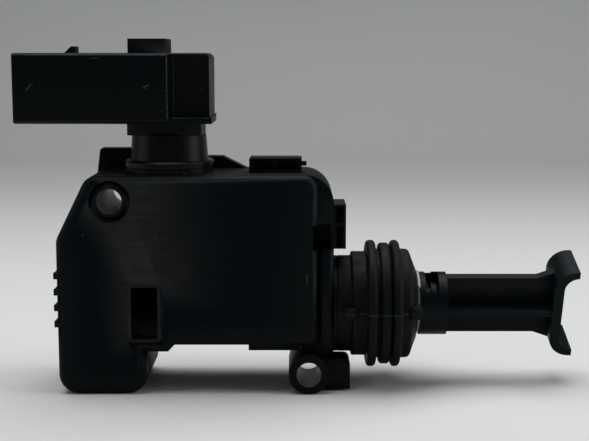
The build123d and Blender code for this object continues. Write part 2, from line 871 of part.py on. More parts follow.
brush_thickness = 0.8
brush_x = commutator_radius + running_gap + brush_thickness / 2
with BuildPart() as motor_brushes:
    with BuildSketch(Plane.XY.offset(commutator_base + 0.4)):
        with Locations((motor_x + brush_x, 0), (motor_x - brush_x, 0)):
            Rectangle(brush_thickness, 6.0)
    extrude(amount=commutator_length - 0.8)
keep("motor_brushes", motor_brushes)

# Worm, with a left-hand thread in mesh with the wheel to its right
thread_pitch = pi * worm_module
thread_turns = 3
thread_half = (thread_pitch - backlash) / 4
thread_slope = tan(radians(tooth_angle))
thread_low = worm_radius - 1.05 * worm_module
thread_root = 1.2 * worm_module
with BuildPart() as worm:
    with BuildSketch(Plane.XY.offset(worm_base)):
        with Locations((motor_x, 0)):
            Circle(thread_low)
    extrude(amount=worm_length)
    with BuildLine() as thread_line:
        Helix(
            thread_pitch,
            thread_pitch * thread_turns,
            worm_radius,
            center=(motor_x, 0, worm_wheel_z - thread_pitch * thread_turns / 2),
            lefthand=True,
        )
    with BuildSketch(Plane(thread_line.line @ 0, x_dir=(0, 0, 1), z_dir=thread_line.line % 0)):
        with BuildLine():
            Polyline(
                (-thread_half - thread_root * thread_slope, thread_root),
                (-thread_half + 0.8 * worm_module * thread_slope, -0.8 * worm_module),
                (thread_half - 0.8 * worm_module * thread_slope, -0.8 * worm_module),
                (thread_half + thread_root * thread_slope, thread_root),
                close=True,
            )
        make_face()
    sweep(path=thread_line.line, is_frenet=True)
    with BuildSketch(Plane.XY.offset(worm_base)):
        with Locations((motor_x, 0)):
            Circle(shaft_radius + fit_gap)
    extrude(amount=worm_length, mode=Mode.SUBTRACT)
keep("worm", worm)

# Worm wheel with its small gear
lead_turn = degrees(worm_module / (2 * worm_radius) * gear_layer / worm_wheel_radius)
mesh_angle = degrees(atan((large_gear_z - worm_wheel_z) / (rack_gear_x - worm_gear_x)))
with BuildPart() as worm_gear:
    for y, turn in ((gear_layer, lead_turn), (-gear_layer, -lead_turn)):
        with BuildSketch(facing(y)):
            with Locations((worm_gear_x, worm_wheel_z)):
                gear_outline(worm_wheel_teeth, worm_module, 180 + turn)
    loft(ruled=True)
    with BuildSketch(facing(gear_back)):
        with Locations((worm_gear_x, worm_wheel_z)):
            gear_outline(small_gear_teeth, train_module, mesh_angle)
    extrude(amount=small_gear_width)
    with BuildSketch(facing(gear_back)):
        with Locations((worm_gear_x, worm_wheel_z)):
            Circle(axle_radius + running_gap)
    extrude(amount=gear_back + gear_layer, mode=Mode.SUBTRACT)
keep("worm_gear", worm_gear)

# Large gear with the pinion of the rack
with BuildPart() as rack_gear:
    with BuildSketch(facing(gear_back)):
        with Locations((rack_gear_x, large_gear_z)):
            gear_outline(large_gear_teeth, train_module, mesh_angle + 180 + 180 / large_gear_teeth)
    extrude(amount=small_gear_width - part_gap)
    with BuildSketch(facing(gear_layer + part_gap)):
        with Locations((rack_gear_x, large_gear_z)):
            gear_outline(pinion_teeth, rack_module, -90)
    extrude(amount=2 * gear_layer + part_gap)
    with BuildSketch(facing(gear_back)):
        with Locations((rack_gear_x, large_gear_z)):
            Circle(axle_radius + running_gap)
    extrude(amount=gear_back + gear_layer, mode=Mode.SUBTRACT)
    # lightening holes in the web of the large gear
    with BuildSketch(facing(gear_back)):
        with Locations((rack_gear_x, large_gear_z)):
            with PolarLocations(6.7, 5):
                Circle(1.5)
    extrude(amount=small_gear_width, mode=Mode.SUBTRACT)
keep("rack_gear", rack_gear)

# Steel pins of the two gears
with BuildPart() as gear_axles:
    with BuildSketch(facing(back_inside + axle_seat - fit_gap)):
        with Locations((worm_gear_x, worm_wheel_z), (rack_gear_x, large_gear_z)):
            Circle(axle_radius)
    extrude(amount=back_inside + axle_seat - 2 * fit_gap - front_inside)
keep("gear_axles", gear_axles)

# Rack and rod in one moulding, with the turned key that holds the yoke
rack_root = rack_level - 1.05 * rack_module
tooth_half = rack_pitch / 4 - backlash / 4
tooth_slope = tan(radians(tooth_angle))
head_left = collar_left + 2.0
with BuildPart() as rack_rod:
    with BuildSketch(facing(rack_half_width)):
        with BuildLine():
            FilletPolyline(
                (rack_left, rack_bottom),
                (rack_left, rack_root),
                (rack_right - 2, rack_root),
                (rack_right, rod_z + rod_radius),
                (rack_right + 1, rod_z + rod_radius),
                (rack_right + 1, rack_bottom),
                radius=[0.5, 0, 1.0, 0, 0, 0],
                close=True,
            )
        make_face()
        # a gap of the rack lies below the pinion's lowest tooth
        for step in range(-5, 2):
            tooth_x = rack_gear_x + (step + 0.5) * rack_pitch
            Polygon(
                (tooth_x - tooth_half - 1.05 * rack_module * tooth_slope, rack_root),
                (tooth_x - tooth_half + 0.8 * rack_module * tooth_slope, rack_level + 0.8 * rack_module),
                (tooth_x + tooth_half - 0.8 * rack_module * tooth_slope, rack_level + 0.8 * rack_module),
                (tooth_x + tooth_half + 1.05 * rack_module * tooth_slope, rack_root),
                align=None,
            )
    extrude(amount=2 * rack_half_width)
    with BuildSketch(across(rack_right)):
        with Locations((0, rod_z)):
            Circle(rod_radius)
    extrude(amount=collar_right - 0.6 - rack_right)
    with BuildSketch(turned_side(head_left)):
        Circle(rod_head_radius)
        sector(key_radius, -90 - key_half_angle, -90 + key_half_angle)
    extrude(amount=rod_head_length)
keep("rack_rod", rack_rod)

# Bearing of the rod in the nose
with BuildPart() as guide_bush:
    with BuildSketch(across(cavity_right)):
        with Locations((0, rod_z)):
            Circle(rod_radius + running_gap + bush_wall - fit_gap)
            Circle(rod_radius + running_gap, mode=Mode.SUBTRACT)
    extrude(amount=nose_right + nose_length + nose_spigot_length - cavity_right)
keep("guide_bush", guide_bush)

# Rubber ring that stops the rack at the nose
with BuildPart() as stop_buffer:
    with BuildSketch(across(rack_right + 1 + stroke + part_gap)):
        with Locations((0, rod_z)):
            Circle(buffer_radius)
            Circle(rod_radius + part_gap, mode=Mode.SUBTRACT)
    extrude(amount=cavity_right - fit_gap - rack_right - 1 - stroke - part_gap)
keep("stop_buffer", stop_buffer)

# Bellows: root on the nose, three folds, shoulder and end wall round the rod
bellows_left = nose_right + nose_length
bellows_right = bellows_left + bellows_length
fold_edge = 0.6
with BuildPart() as bellows:
    with BuildSketch(Plane.XZ):
        with BuildLine():
            Polyline(
                (bellows_left, rod_z + nose_spigot_radius + part_gap),
                (bellows_left, rod_z + bellows_root_radius),
                (bellows_left + 1.7, rod_z + bellows_root_radius),
                (bellows_left + 1.7, rod_z + bellows_body_radius),
                (bellows_left + 5.1, rod_z + bellows_body_radius),
                (bellows_left + 5.1, rod_z + bellows_fold_radius - fold_edge),
                (bellows_left + 5.1 + fold_edge, rod_z + bellows_fold_radius),
                (bellows_left + 7.3 - fold_edge, rod_z + bellows_fold_radius),
                (bellows_left + 7.3, rod_z + bellows_fold_radius - fold_edge),
                (bellows_left + 7.3, rod_z + bellows_groove_radius),
                (bellows_left + 8.0, rod_z + bellows_groove_radius),
                (bellows_left + 8.0 + fold_edge, rod_z + bellows_middle_fold_radius),
                (bellows_left + 10.3 - fold_edge, rod_z + bellows_middle_fold_radius),
                (bellows_left + 10.3, rod_z + bellows_groove_radius),
                (bellows_left + 10.6, rod_z + bellows_groove_radius),
                (bellows_left + 10.6 + fold_edge, rod_z + bellows_fold_radius),
                (bellows_left + 12.5 - fold_edge, rod_z + bellows_fold_radius),
                (bellows_left + 12.5, rod_z + bellows_end_radius),
                (bellows_left + 14.4, rod_z + bellows_end_radius),
                (bellows_right - 0.6, rod_z + bellows_end_radius - 1.6),
                (bellows_right, rod_z + bellows_end_radius - 4.0),
                (bellows_right, rod_z + rod_radius + part_gap),
                (bellows_right - bellows_wall, rod_z + rod_radius + part_gap),
                (bellows_right - bellows_wall, rod_z + bellows_end_radius - 4.5),
                (bellows_right - 2.6, rod_z + bellows_end_radius - bellows_wall),
                (bellows_left + nose_spigot_length + part_gap, rod_z + bellows_body_radius - bellows_wall),
                (bellows_left + nose_spigot_length + part_gap, rod_z + nose_spigot_radius + part_gap),
                close=True,
            )
        make_face()
    revolve(axis=Axis((0, 0, rod_z), (1, 0, 0)))
keep("bellows", bellows)

# Pale washer between bellows and yoke
with BuildPart() as end_washer:
    with BuildSketch(across(washer_left)):
        with Locations((0, rod_z)):
            Circle(washer_radius)
            Circle(rod_radius + fit_gap, mode=Mode.SUBTRACT)
    extrude(amount=washer_thickness)
keep("end_washer", end_washer)

# Yoke, turned about the rod: collar, cross-shaped beam and head with two horns
turned_face = Plane(origin=(0, 0, rod_z), x_dir=(1, 0, 0), z_dir=(0, -turned.Z, turned.Y))
turned_top = Plane(origin=(0, 0, rod_z), x_dir=(1, 0, 0), z_dir=(0, turned.Y, turned.Z))
head_right = yoke_head_left + yoke_head_thickness
horn_tip = head_right + yoke_horn_reach
inner_horn_round = yoke_horn_round - yoke_head_thickness
with BuildPart() as yoke:
    with BuildSketch(turned_side(collar_left)):
        Circle(yoke_collar_radius)
    extrude(amount=yoke_collar_length)
    with BuildSketch(turned_face):
        with BuildLine():
            FilletPolyline(
                (collar_right - 0.6, -yoke_web_half_height),
                (yoke_head_left - 2.2, -yoke_web_half_height),
                (yoke_head_left + 0.5, -yoke_web_half_height - 1.2),
                (yoke_head_left + 0.5, yoke_web_half_height + 1.2),
                (yoke_head_left - 2.2, yoke_web_half_height),
                (collar_right - 0.6, yoke_web_half_height),
                radius=[0, 2.0, 0, 0, 2.0, 0],
                close=True,
            )
        make_face()
    extrude(amount=yoke_web_thickness / 2, both=True)
    with BuildSketch(turned_top):
        with Locations((collar_right - 0.6, 0)):
            Rectangle(
                yoke_head_left + 0.5 - collar_right + 0.6,
                2 * yoke_rib_half_width,
                align=(Align.MIN, Align.CENTER),
            )
    extrude(amount=yoke_rib_thickness / 2, both=True)
    # head: plate that curves out into two horns
    with BuildSketch(turned_face):
        with BuildLine():
            FilletPolyline(
                (horn_tip, -yoke_horn_height),
                (yoke_head_left + 1.2, -yoke_horn_height),
                (yoke_head_left, 0),
                (yoke_head_left + 1.2, yoke_horn_height),
                (horn_tip, yoke_horn_height),
                (horn_tip, yoke_horn_height - yoke_head_thickness),
                (head_right + 0.6, yoke_horn_height - yoke_head_thickness),
                (head_right, 0),
                (head_right + 0.6, -yoke_horn_height + yoke_head_thickness),
                (horn_tip, -yoke_horn_height + yoke_head_thickness),
                radius=[0.3, yoke_horn_round, 9, yoke_horn_round, 0.3]
                + [0.3, inner_horn_round, 9, inner_horn_round, 0.3],
                close=True,
            )
        make_face()
    extrude(amount=yoke_rib_half_width, both=True)
    # snap window at the top of the collar
    with BuildSketch(turned_face):
        with Locations((collar_left + 1.4, yoke_collar_radius)):
            Rectangle(3.4, 2.2, align=(Align.MIN, Align.CENTER))
    extrude(amount=yoke_collar_radius, both=True, mode=Mode.SUBTRACT)
    # bore, groove of the rod's head and slot of its key
    with BuildSketch(turned_side(collar_left)):
        Circle(rod_radius + running_gap)
    extrude(amount=yoke_collar_length - 0.5, mode=Mode.SUBTRACT)
    with BuildSketch(turned_side(head_left - 0.1)):
        Circle(rod_head_radius + running_gap)
        sector(
            key_radius + running_gap,
            -90 - key_half_angle - key_play,
            -90 + key_half_angle + key_play + swivel_range,
        )
    extrude(amount=rod_head_length + 0.2, mode=Mode.SUBTRACT)
keep("yoke", yoke)

for name, part in solids.items():
    export_step(part, f"parts/{name}.step")
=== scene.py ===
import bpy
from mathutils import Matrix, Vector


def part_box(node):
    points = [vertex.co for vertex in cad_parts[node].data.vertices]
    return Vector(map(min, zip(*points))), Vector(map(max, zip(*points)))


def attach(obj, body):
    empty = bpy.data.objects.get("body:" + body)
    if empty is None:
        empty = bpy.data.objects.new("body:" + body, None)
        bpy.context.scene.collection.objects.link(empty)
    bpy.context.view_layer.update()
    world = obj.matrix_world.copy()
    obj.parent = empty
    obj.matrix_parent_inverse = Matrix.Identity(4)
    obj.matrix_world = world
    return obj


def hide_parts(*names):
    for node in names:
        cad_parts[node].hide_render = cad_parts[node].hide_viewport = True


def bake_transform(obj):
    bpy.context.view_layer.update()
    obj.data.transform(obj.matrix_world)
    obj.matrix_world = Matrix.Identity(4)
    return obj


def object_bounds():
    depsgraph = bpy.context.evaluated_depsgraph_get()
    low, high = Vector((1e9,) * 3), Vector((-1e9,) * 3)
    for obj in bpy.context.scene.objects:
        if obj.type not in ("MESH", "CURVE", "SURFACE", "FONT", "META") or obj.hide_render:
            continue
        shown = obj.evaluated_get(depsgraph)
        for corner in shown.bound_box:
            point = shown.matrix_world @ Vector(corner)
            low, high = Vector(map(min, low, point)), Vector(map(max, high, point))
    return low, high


bl_info = {
    "name": "Hood Latch Actuator",
    "version": (1, 0, 0),
    "blender": (4, 5, 0),
    "location": "View3D > Sidebar > Actuator",
    "description": "Dresses the frame of a hood latch actuator with its finishes, rubber boot and studio",
    "category": "Object",
}

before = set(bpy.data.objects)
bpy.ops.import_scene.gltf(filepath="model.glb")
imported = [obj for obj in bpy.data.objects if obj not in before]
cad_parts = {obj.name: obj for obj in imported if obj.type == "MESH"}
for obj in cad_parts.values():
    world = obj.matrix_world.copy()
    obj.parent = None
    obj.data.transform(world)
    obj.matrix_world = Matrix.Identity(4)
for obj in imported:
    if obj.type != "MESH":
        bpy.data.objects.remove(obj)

import math

import bmesh
import bpy
from mathutils import Vector

cad_low, cad_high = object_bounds()
MM = 0.001

# Places of the object's own, in millimetres and degrees
ROD_HEIGHT = -24.1
YOKE_TURN = 19.4
LOOP_LEVELS = (-17.7, -24.6)
LOOP_BAR_OFFSET = 1.75
SLEEVE_BORE = 2.66
NECK_BORE = 7.05
ROD_BORE = 3.6

# Colours of what lies on or shows through the surfaces; the first also paints edge highlights along given
# lines
DUST_AND_HIGHLIGHT = (0.13, 0.14, 0.145, 1.0)
RUBBER_DUST = (0.11, 0.115, 0.12, 1.0)
SEAM_COLOUR = (0.06, 0.065, 0.07, 1.0)


class Value:
    """A shader socket whose Python operators add Math nodes."""

    def __init__(self, finish, socket):
        self.finish = finish
        self.socket = socket

    def math(self, operation, *values):
        """Math node of that operation on the values."""
        return self.finish.value("ShaderNodeMath", {"operation": operation}, dict(enumerate(values)))

    def __add__(self, other):
        return self.math("ADD", self, other)

    def __radd__(self, other):
        return self.math("ADD", other, self)

    def __sub__(self, other):
        return self.math("SUBTRACT", self, other)

    def __rsub__(self, other):
        return self.math("SUBTRACT", other, self)

    def __mul__(self, other):
        return self.math("MULTIPLY", self, other)

    def __rmul__(self, other):
        return self.math("MULTIPLY", other, self)

    def __truediv__(self, other):
        return self.math("DIVIDE", self, other)

    def __rtruediv__(self, other):
        return self.math("DIVIDE", other, self)

    def __pow__(self, other):
        return self.math("POWER", self, other)


class Finish:
    """One material, with the few kinds of nodes that this object's finishes are made of."""

    def __init__(self, name):
        self.material = bpy.data.materials.new(name)
        self.material.use_nodes = True
        self.tree = self.material.node_tree
        self.tree.nodes.clear()
        self.spot = None

    def node(self, kind, settings=None, sockets=None):
        """Adds a node: its settings come first, then the values or links of its sockets."""
        made = self.tree.nodes.new(kind)
        for key, setting in (settings or {}).items():
            if key == "stops":
                ramp = made.color_ramp.elements
                while len(ramp) < len(setting):
                    ramp.new(0.5)
                for stop, (place, colour) in zip(ramp, setting):
                    stop.position = place
                    stop.color = colour
            else:
                setattr(made, key, setting)
        for key, wanted in (sockets or {}).items():
            if isinstance(wanted, Value):
                self.tree.links.new(wanted.socket, made.inputs[key])
            else:
                made.inputs[key].default_value = wanted
        return made

    def value(self, kind, settings=None, sockets=None, output=0):
        """Adds a node and gives one of its outputs back as a value."""
        return Value(self, self.node(kind, settings, sockets).outputs[output])

    def place(self):
        """The point on the surface, in the object's own metres."""
        if self.spot is None:
            self.spot = self.value("ShaderNodeTexCoord", output="Object")
        return self.spot

    def part(self, axis):
        """One coordinate of the point: X, Y or Z."""
        return self.value("ShaderNodeSeparateXYZ", sockets={0: self.place()}, output=axis)

    def noise(self, grain, detail=2.0, roughness=0.5, stretch=(1, 1, 1)):
        """Soft noise whose lumps are about as long as the grain, in metres."""
        scale = tuple(share / grain for share in stretch)
        spot = self.value(
            "ShaderNodeVectorMath", {"operation": "MULTIPLY"}, {0: self.place(), 1: scale}
        )
        return self.value(
            "ShaderNodeTexNoise",
            {"noise_dimensions": "3D"},
            {"Vector": spot, "Scale": 1.0, "Detail": detail, "Roughness": roughness},
        )

    def cells(self, size):
        """Distance to scattered points that lie about one size apart, as a share of it."""
        spot = self.value(
            "ShaderNodeVectorMath", {"operation": "SCALE"}, {0: self.place(), "Scale": 1 / size}
        )
        return self.value(
            "ShaderNodeTexVoronoi", {"feature": "F1"}, {"Vector": spot, "Scale": 1.0}
        )

    def between(self, value, low, high, start=0.0, end=1.0):
        """Maps a value from one range to another, smoothly and with its ends held."""
        return self.value(
            "ShaderNodeMapRange",
            {"interpolation_type": "SMOOTHSTEP"},
            {"Value": value, 1: low, 2: high, 3: start, 4: end},
        )

    def inside(self, low, high):
        """1 inside a box given by two corners, falling to 0 just outside it."""
        edge = 0.05 * MM
        share = None
        for axis, start, end in zip("XYZ", low, high):
            place = self.part(axis)
            inside = self.between(place, start - edge, start + edge) * self.between(
                place, end - edge, end + edge, 1.0, 0.0
            )
            share = inside if share is None else share * inside
        return share

    def line_mask(self, start, end, width):
        """1 along a short line on a front face, from (x, z) to (x, z), falling to 0 at its width."""
        run_x, run_z = end[0] - start[0], end[1] - start[1]
        off_x, off_z = self.part("X") - start[0], self.part("Z") - start[1]
        along = (off_x * run_x + off_z * run_z) / (run_x * run_x + run_z * run_z)
        along = along.math("MINIMUM", along.math("MAXIMUM", along, 0.0), 1.0)
        gap_x, gap_z = off_x - along * run_x, off_z - along * run_z
        return self.between((gap_x * gap_x + gap_z * gap_z) ** 0.5, 0.0, width, 1.0, 0.0)

    def blend(self, factor, first, second):
        """Colour between two colours."""
        return self.value(
            "ShaderNodeMix",
            {"data_type": "RGBA", "clamp_factor": True},
            {0: factor, 6: first, 7: second},
            output=2,
        )

    def bump(self, height, distance, strength=1.0, below=None):
        """Normal that follows a height from 0 to 1 times the distance, in metres."""
        sockets = {"Strength": strength, "Distance": distance, "Height": height}
        if below:
            sockets["Normal"] = below
        return self.value("ShaderNodeBump", sockets=sockets)

    def surface(self, colour, roughness, normal=None, **constants):
        """Principled surface as the material's output."""
        sockets = {"Base Color": colour, "Roughness": roughness}
        for name, setting in constants.items():
            sockets[name.replace("_", " ").title().replace("Ior", "IOR")] = setting
        if normal:
            sockets["Normal"] = normal
        shader = self.value("ShaderNodeBsdfPrincipled", sockets=sockets)
        self.node("ShaderNodeOutputMaterial", sockets={"Surface": shader})
        return self.material


def shade(colour, share=1.0):
    """Colour times a share, opaque."""
    return tuple(channel * share for channel in colour[:3]) + (1.0,)


def moulded_plastic(name, colour, roughness=0.5, scratches_and_highlights=(), pits_and_painted_shade=(), wear=0.5, gloss=0.1):
    """Fine satin moulding: grain, slow unevenness, a worn sheen, dust, pale lines of scratches and of
    painted edge highlights, and painted shade in given boxes.
    """
    finish = Finish(name)
    fine = finish.noise(0.16 * MM, 3.0, 0.6)
    slow = finish.noise(5.0 * MM, 2.0)
    flow = finish.noise(1.3 * MM, 4.0, 0.55, (0.3, 1.0, 1.6))
    tone = finish.blend(slow, shade(colour, 0.8), shade(colour, 1.25))
    # Painted shade: each given box is darkened to 0.15 of the colour, standing in for the shadow inside a
    # recess.
    for low, high in pits_and_painted_shade:
        tone = finish.blend(finish.inside(low, high), tone, shade(colour, 0.15))
    specks = finish.between(finish.cells(2.6 * MM), 0.035, 0.012) * finish.between(slow, 0.45, 0.6)
    marks = specks * (0.5 * wear)
    # Pale lines: scratches, and painted highlights where a caller gives lines along edges.
    for start, end, width in scratches_and_highlights:
        broken = finish.between(flow, 0.35, 0.6)
        line = finish.line_mask([s * MM for s in start], [e * MM for e in end], width * MM)
        marks = marks + line * broken
    marks = marks.math("MINIMUM", marks, 1.0)
    # The pale dust colour goes over dust specks, scratches and painted edge highlights.
    tone = finish.blend(marks * 0.55, tone, DUST_AND_HIGHLIGHT)
    sheen = finish.between(flow, 0.3, 0.7, roughness - 0.05, roughness + 0.06) + marks * 0.15
    low_waves = finish.bump(slow, 0.05 * MM, 0.25)
    normal = finish.bump(fine, 0.008 * MM, 0.45, low_waves)
    return finish.surface(tone, sheen, normal, specular_ior_level=gloss)


def glossy_plastic(name, colour):
    """Smooth moulding with faint draw marks and fingerprints."""
    finish = Finish(name)
    slow = finish.noise(3.5 * MM, 2.0)
    marks = finish.noise(0.4 * MM, 4.0, 0.6, (1.0, 1.0, 0.15))
    tone = finish.blend(slow, shade(colour, 0.85), shade(colour, 1.2))
    sheen = finish.between(marks, 0.3, 0.8, 0.3, 0.36)
    normal = finish.bump(marks, 0.001 * MM, 0.3, finish.bump(slow, 0.01 * MM, 0.3))
    return finish.surface(tone, sheen, normal, specular_ior_level=0.13)


def soft_rubber(name, colour, roughness=0.62, bloom=0.3, seam=None):
    """Matt rubber: a pale bloom in patches, a pored and lumpy skin and, in a box, a pale seam."""
    finish = Finish(name)
    pores = finish.noise(0.12 * MM, 3.0, 0.65)
    lumps = finish.noise(0.55 * MM, 3.0, 0.6)
    patches = finish.noise(2.4 * MM, 4.0, 0.6)
    haze = finish.between(patches, 0.42, 0.72)
    specks = finish.between(finish.cells(0.8 * MM), 0.16, 0.05) * haze
    tone = finish.blend(haze * bloom, shade(colour, 0.85), shade(colour, 2.2))
    tone = finish.blend(specks * 0.6, tone, RUBBER_DUST)
    if seam:
        broken = finish.inside(*seam) * finish.between(patches, 0.3, 0.5)
        tone = finish.blend(broken * 0.5, tone, SEAM_COLOUR)
    sheen = finish.between(patches, 0.3, 0.7, roughness - 0.1, roughness + 0.1)
    normal = finish.bump(lumps, 0.09 * MM, 0.35, finish.bump(patches, 0.06 * MM, 0.3))
    normal = finish.bump(pores, 0.02 * MM, 0.5, normal)
    return finish.surface(tone, sheen, normal, specular_ior_level=0.13)


def worked_metal(name, colour, roughness=0.32, stretch=(1.0, 0.08, 1.0), stain=0.35, metallic=1.0):
    """Metal with tool marks along one direction, dull patches and small pits."""
    finish = Finish(name)
    lines = finish.noise(0.09 * MM, 3.0, 0.6, stretch)
    patches = finish.noise(1.6 * MM, 4.0, 0.6)
    pits_and_painted_shade = finish.between(finish.cells(0.5 * MM), 0.12, 0.03)
    tone = finish.blend(patches * stain, shade(colour), shade(colour, 0.55))
    sheen = finish.between(lines, 0.3, 0.7, roughness - 0.08, roughness + 0.12)
    normal = finish.bump(lines, 0.006 * MM, 0.5, finish.bump(1 - pits_and_painted_shade, 0.02 * MM, 0.3))
    return finish.surface(tone, sheen + patches * 0.08, normal, metallic=metallic)


def dress(node, material):
    """Gives a carried-over node its finish."""
    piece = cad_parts[node]
    piece.data.materials.clear()
    piece.data.materials.append(material)
    return piece


def soften(piece, width, angle=32.0):
    """Rounds a piece's edges by a small width, over its untouched mesh."""
    weld = piece.modifiers.new("weld", "WELD")
    weld.merge_threshold = 0.002 * MM
    bevel = piece.modifiers.new("edges", "BEVEL")
    bevel.width = width
    bevel.segments = 2
    bevel.limit_method = "ANGLE"
    bevel.angle_limit = math.radians(angle)
    bevel.harden_normals = True
    return piece


def piece_from(name, shell, material, body=None):
    """Links a finished shell as a piece with its material, riding on a body if one is given."""
    mesh = bpy.data.meshes.new(name)
    shell.to_mesh(mesh)
    shell.free()
    piece = bpy.data.objects.new(name, mesh)
    bpy.context.scene.collection.objects.link(piece)
    mesh.materials.append(material)
    for polygon in mesh.polygons:
        polygon.use_smooth = True
    if body:
        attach(piece, body)
    return piece


def face_on(x, z, depth):
    """Point of a front view, in millimetres, at its depth along Y."""
    return Vector((x, depth, z)) * MM


def side_on(y, z, depth):
    """Point of a side view, in millimetres, at its place along X."""
    return Vector((depth, y, z)) * MM


def from_above(x, y, depth):
    """Point of a top view, in millimetres, at its height."""
    return Vector((x, y, depth)) * MM


def frame_outline(left, low, right, high):
    """Outline of a rectangle."""
    return [(left, low), (right, low), (right, high), (left, high)]


def arc(radius, start, end, centre=(0, 0), steps=24):
    """Points of an arc round a centre, its angles in degrees."""
    turns = [math.radians(start + (end - start) * step / steps) for step in range(steps + 1)]
    return [(centre[0] + radius * math.cos(t), centre[1] + radius * math.sin(t)) for t in turns]


def circle(radius, centre=(0, 0), steps=64):
    """Outline of a circle."""
    return arc(radius, 0, 360, centre, steps)[:-1]


def corner_cut(x, z, radius, side_x, side_z):
    """Outline of what rounds a corner off, where the solid lies towards side_x and side_z."""
    centre = (x + side_x * radius, z + side_z * radius)
    reach = 0.3
    start = math.degrees(math.atan2(0, -side_x))
    end = math.degrees(math.atan2(-side_z, 0))
    if abs(end - start) > 180:
        start -= math.copysign(360, start - end)
    outside = (x - side_x * reach, z - side_z * reach)
    curve = arc(radius, start, end, centre, 8)
    first = (x - side_x * reach, curve[0][1])
    last = (curve[-1][0], z - side_z * reach)
    return [first] + curve + [last, outside]


def prism(place, outline, low, high):
    """Closed shell of an outline, set in space by a view and running between two depths."""
    mesh = bmesh.new()
    ends = [[mesh.verts.new(place(*point, depth)) for point in outline] for depth in (low, high)]
    mesh.faces.new(ends[0])
    mesh.faces.new(ends[1])
    for index in range(len(outline)):
        after = (index + 1) % len(outline)
        mesh.faces.new((ends[0][index], ends[0][after], ends[1][after], ends[1][index]))
    bmesh.ops.recalc_face_normals(mesh, faces=mesh.faces)
    return mesh


def turned(place, centre, profile, steps=96):
    """Closed shell of a profile of (radius, depth) points, turned about a point of a view."""
    mesh = bmesh.new()
    rings = []
    for across, up in circle(1.0, steps=steps):
        rings.append(
            [
                mesh.verts.new(place(centre[0] + radius * across, centre[1] + radius * up, depth))
                for radius, depth in profile
            ]
        )
    for ring, following in zip(rings, rings[1:] + rings[:1]):
        for index in range(len(profile)):
            after = (index + 1) % len(profile)
            mesh.faces.new((ring[index], ring[after], following[after], following[index]))
    bmesh.ops.recalc_face_normals(mesh, faces=mesh.faces)
    return mesh


def node_shell(node):
    """Copy of a node's mesh with its split corners joined."""
    mesh = bmesh.new()
    mesh.from_mesh(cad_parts[node].data)
    bmesh.ops.remove_doubles(mesh, verts=mesh.verts, dist=0.001 * MM)
    return mesh


def shaped(name, node, body, material, base, steps):
    """Piece that stands for a node: a shell with other shells joined to it or cut out of it."""
    piece = piece_from(name, base, material)
    tools = []
    for operation, shell in steps:
        tool = piece_from("shaper", shell, material)
        tools.append(tool)
        step = piece.modifiers.new(operation, "BOOLEAN")
        step.operation = operation
        step.solver = "EXACT"
        step.object = tool
    rough = piece.data
    finished = piece.evaluated_get(bpy.context.evaluated_depsgraph_get())
    piece.data = bpy.data.meshes.new_from_object(finished)
    piece.data.name = name
    piece.modifiers.clear()
    bpy.data.meshes.remove(rough)
    for tool in tools:
        shell = tool.data
        bpy.data.objects.remove(tool)
        bpy.data.meshes.remove(shell)
    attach(piece, body)
    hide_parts(node)
    return piece


def rounded(points, steps=4):
    """Profile with each corner (x, r, radius) replaced by an arc of that radius."""
    outline = []
    count = len(points)
    for index, (x, r, radius) in enumerate(points):
        corner = Vector((x, r))
        before = Vector(points[index - 1][:2]) - corner
        after = Vector(points[(index + 1) % count][:2]) - corner
        half = before.angle(after) / 2
        if radius <= 0 or abs(half - math.pi / 2) < 0.02:
            outline.append(corner)
            continue
        reach = min(radius / math.tan(half), 0.48 * before.length, 0.48 * after.length)
        start = corner + before.normalized() * reach
        end = corner + after.normalized() * reach
        for step in range(steps + 1):
            share = step / steps
            first = start.lerp(corner, share)
            second = corner.lerp(end, share)
            outline.append(first.lerp(second, share))
    return outline


class CasingSizes(bpy.types.PropertyGroup):
    """Sizes of the casing's finish."""

    edge_round: bpy.props.FloatProperty(
        name="Edge Round",
        description="Width of the softened edges of the mouldings",
        default=0.18 * MM,
        subtype="DISTANCE",
        unit="LENGTH",
    )


class BellowsSizes(bpy.types.PropertyGroup):
    """Sizes of the rubber bellows."""

    fold_round: bpy.props.FloatProperty(
        name="Fold Round",
        description="Radius of the outer edges of the folds",
        default=0.95 * MM,
        subtype="DISTANCE",
        unit="LENGTH",
    )
    parting_height: bpy.props.FloatProperty(
        name="Parting Height",
        description="Height of the moulding seam on both sides",
        default=0.22 * MM,
        subtype="DISTANCE",
        unit="LENGTH",
    )
    segments: bpy.props.IntProperty(
        name="Segments",
        description="Faces round the bellows",
        default=192,
        min=24,
    )


class FinishColours(bpy.types.PropertyGroup):
    """Colours of the pieces."""

    casing: bpy.props.FloatVectorProperty(
        name="Casing", description="Moulded casing and cover", default=(0.0009, 0.0027, 0.0042),
        subtype="COLOR", min=0, max=1,
    )
    collar: bpy.props.FloatVectorProperty(
        name="Collar", description="Glossy collar of the neck", default=(0.0016, 0.0022, 0.003),
        subtype="COLOR", min=0, max=1,
    )
    rubber: bpy.props.FloatVectorProperty(
        name="Rubber", description="Bellows and seals", default=(0.0016, 0.0032, 0.004),
        subtype="COLOR", min=0, max=1,
    )
    steel: bpy.props.FloatVectorProperty(
        name="Steel", description="Sleeves, pins and motor can", default=(0.52, 0.51, 0.48),
        subtype="COLOR", min=0, max=1,
    )
    brass: bpy.props.FloatVectorProperty(
        name="Brass", description="Worm and contacts", default=(0.66, 0.49, 0.22),
        subtype="COLOR", min=0, max=1,
    )
    copper: bpy.props.FloatVectorProperty(
        name="Copper", description="Windings and commutator", default=(0.52, 0.22, 0.1),
        subtype="COLOR", min=0, max=1,
    )
    gear: bpy.props.FloatVectorProperty(
        name="Gear", description="Natural plastic of the gears", default=(0.62, 0.6, 0.53),
        subtype="COLOR", min=0, max=1,
    )
    washer: bpy.props.FloatVectorProperty(
        name="Washer", description="Pale end washer", default=(0.42, 0.42, 0.39),
        subtype="COLOR", min=0, max=1,
    )


